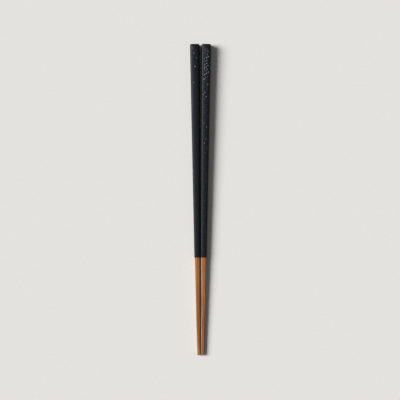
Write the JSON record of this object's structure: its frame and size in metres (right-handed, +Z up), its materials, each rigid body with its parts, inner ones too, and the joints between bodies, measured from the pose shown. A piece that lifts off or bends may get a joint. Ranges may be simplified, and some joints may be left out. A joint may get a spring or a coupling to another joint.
{
  "type": "chopsticks",
  "caption": "Wooden chopsticks lying side by side: tapered, square with rounded corners, black lacquer with small shell flecks over the hand ends and bare wood at the tips.",
  "frame": {"origin": "middle of the pair's outline on the surface that it lies on", "axes": "+Y along the sticks towards the hand ends, +Z up from the surface, +X across the pair from the left stick to the right one"},
  "size_m": [0.0156, 0.2301, 0.0072],
  "materials": {
    "wood": "warm brown hardwood, oiled, straight grain along the stick",
    "lacquer": "black lacquer, satin",
    "flecks": "thin silvery shell flecks, satin"
  },
  "bodies": {
    "root": {"left_stick": "wood", "left_lacquer": "lacquer", "left_flecks": "flecks", "right_stick": "wood", "right_lacquer": "lacquer", "right_flecks": "flecks"}
  },
  "joints": []
}
